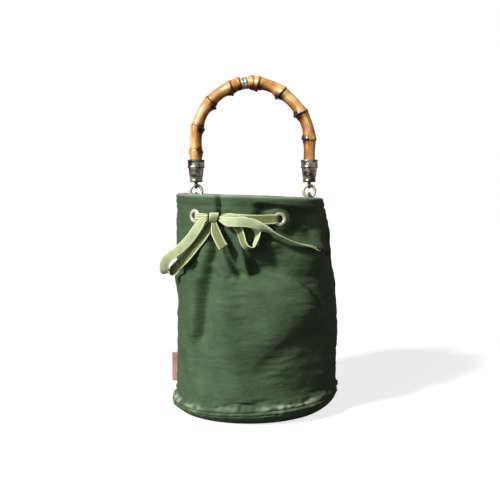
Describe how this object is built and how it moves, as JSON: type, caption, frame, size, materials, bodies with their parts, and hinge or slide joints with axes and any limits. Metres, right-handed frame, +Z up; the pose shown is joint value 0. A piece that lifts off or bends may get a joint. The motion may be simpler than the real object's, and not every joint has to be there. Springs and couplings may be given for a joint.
{
  "type": "drawstring bucket bag",
  "caption": "Fabric bucket bag with a flat round base, a ribbon drawstring tied in a bow, and a swinging bamboo handle on metal rings.",
  "frame": {"origin": "on the ground under the middle of the bag", "axes": "+Z up through the mouth, -Y the front with the bow, +X the right side seen from the front"},
  "size_m": [0.2014, 0.1961, 0.3774],
  "materials": {
    "cotton": "dark green woven cotton, faint sheen",
    "lining": "plain dark green lining",
    "board": "matt pressed board",
    "label": "dusty red woven label, plain",
    "ribbon": "pale green ribbon",
    "silver": "pale polished metal",
    "pewter": "dark polished pewter",
    "bamboo": "varnished honey bamboo",
    "dowel": "plain hardwood"
  },
  "bodies": {
    "bag": {"outer_shell": "cotton", "lining": "lining", "rim_facing": "cotton", "base_panel": "cotton", "base_board": "board", "base_piping": "cotton", "side_label": "label", "handle_loop_left": "cotton", "handle_loop_right": "cotton", "eyelet_left": "silver", "eyelet_right": "silver", "eyelet_washer_left": "silver", "eyelet_washer_right": "silver", "ribbon_channel": "ribbon", "ribbon_knot": "ribbon", "ribbon_left_lead": "ribbon", "ribbon_right_lead": "ribbon", "ribbon_left_loop": "ribbon", "ribbon_right_loop": "ribbon", "ribbon_short_tail": "ribbon", "ribbon_long_tail": "ribbon"},
    "left_ring": {"ring_left": "silver"},
    "right_ring": {"ring_right": "silver"},
    "handle": {"bamboo_left": "bamboo", "bamboo_right": "bamboo", "crown_coupler": "pewter", "crown_dowel": "dowel", "ferrule_left": "pewter", "ferrule_right": "pewter", "ferrule_collar_left": "pewter", "ferrule_collar_right": "pewter", "ferrule_pin_left": "pewter", "ferrule_pin_right": "pewter", "eye_left": "pewter", "eye_right": "pewter"}
  },
  "joints": [
    {"name": "left_ring_swing", "type": "hinge", "parent": "bag", "child": "left_ring", "pos_m": [-0.0662, 0, 0.2406], "axis": [1, 0, 0], "range_deg": [-30, 30]},
    {"name": "right_ring_swing", "type": "hinge", "parent": "bag", "child": "right_ring", "pos_m": [0.0632, 0, 0.2406], "axis": [1, 0, 0], "range_deg": [-30, 30]},
    {"name": "handle_swing", "type": "hinge", "parent": "left_ring", "child": "handle", "pos_m": [-0.0662, 0, 0.2538], "axis": [1, 0, 0], "range_deg": [-56, 56]}
  ],
  "couplings": [
    {"joint": "right_ring_swing", "follows": "left_ring_swing", "ratio": 1}
  ]
}
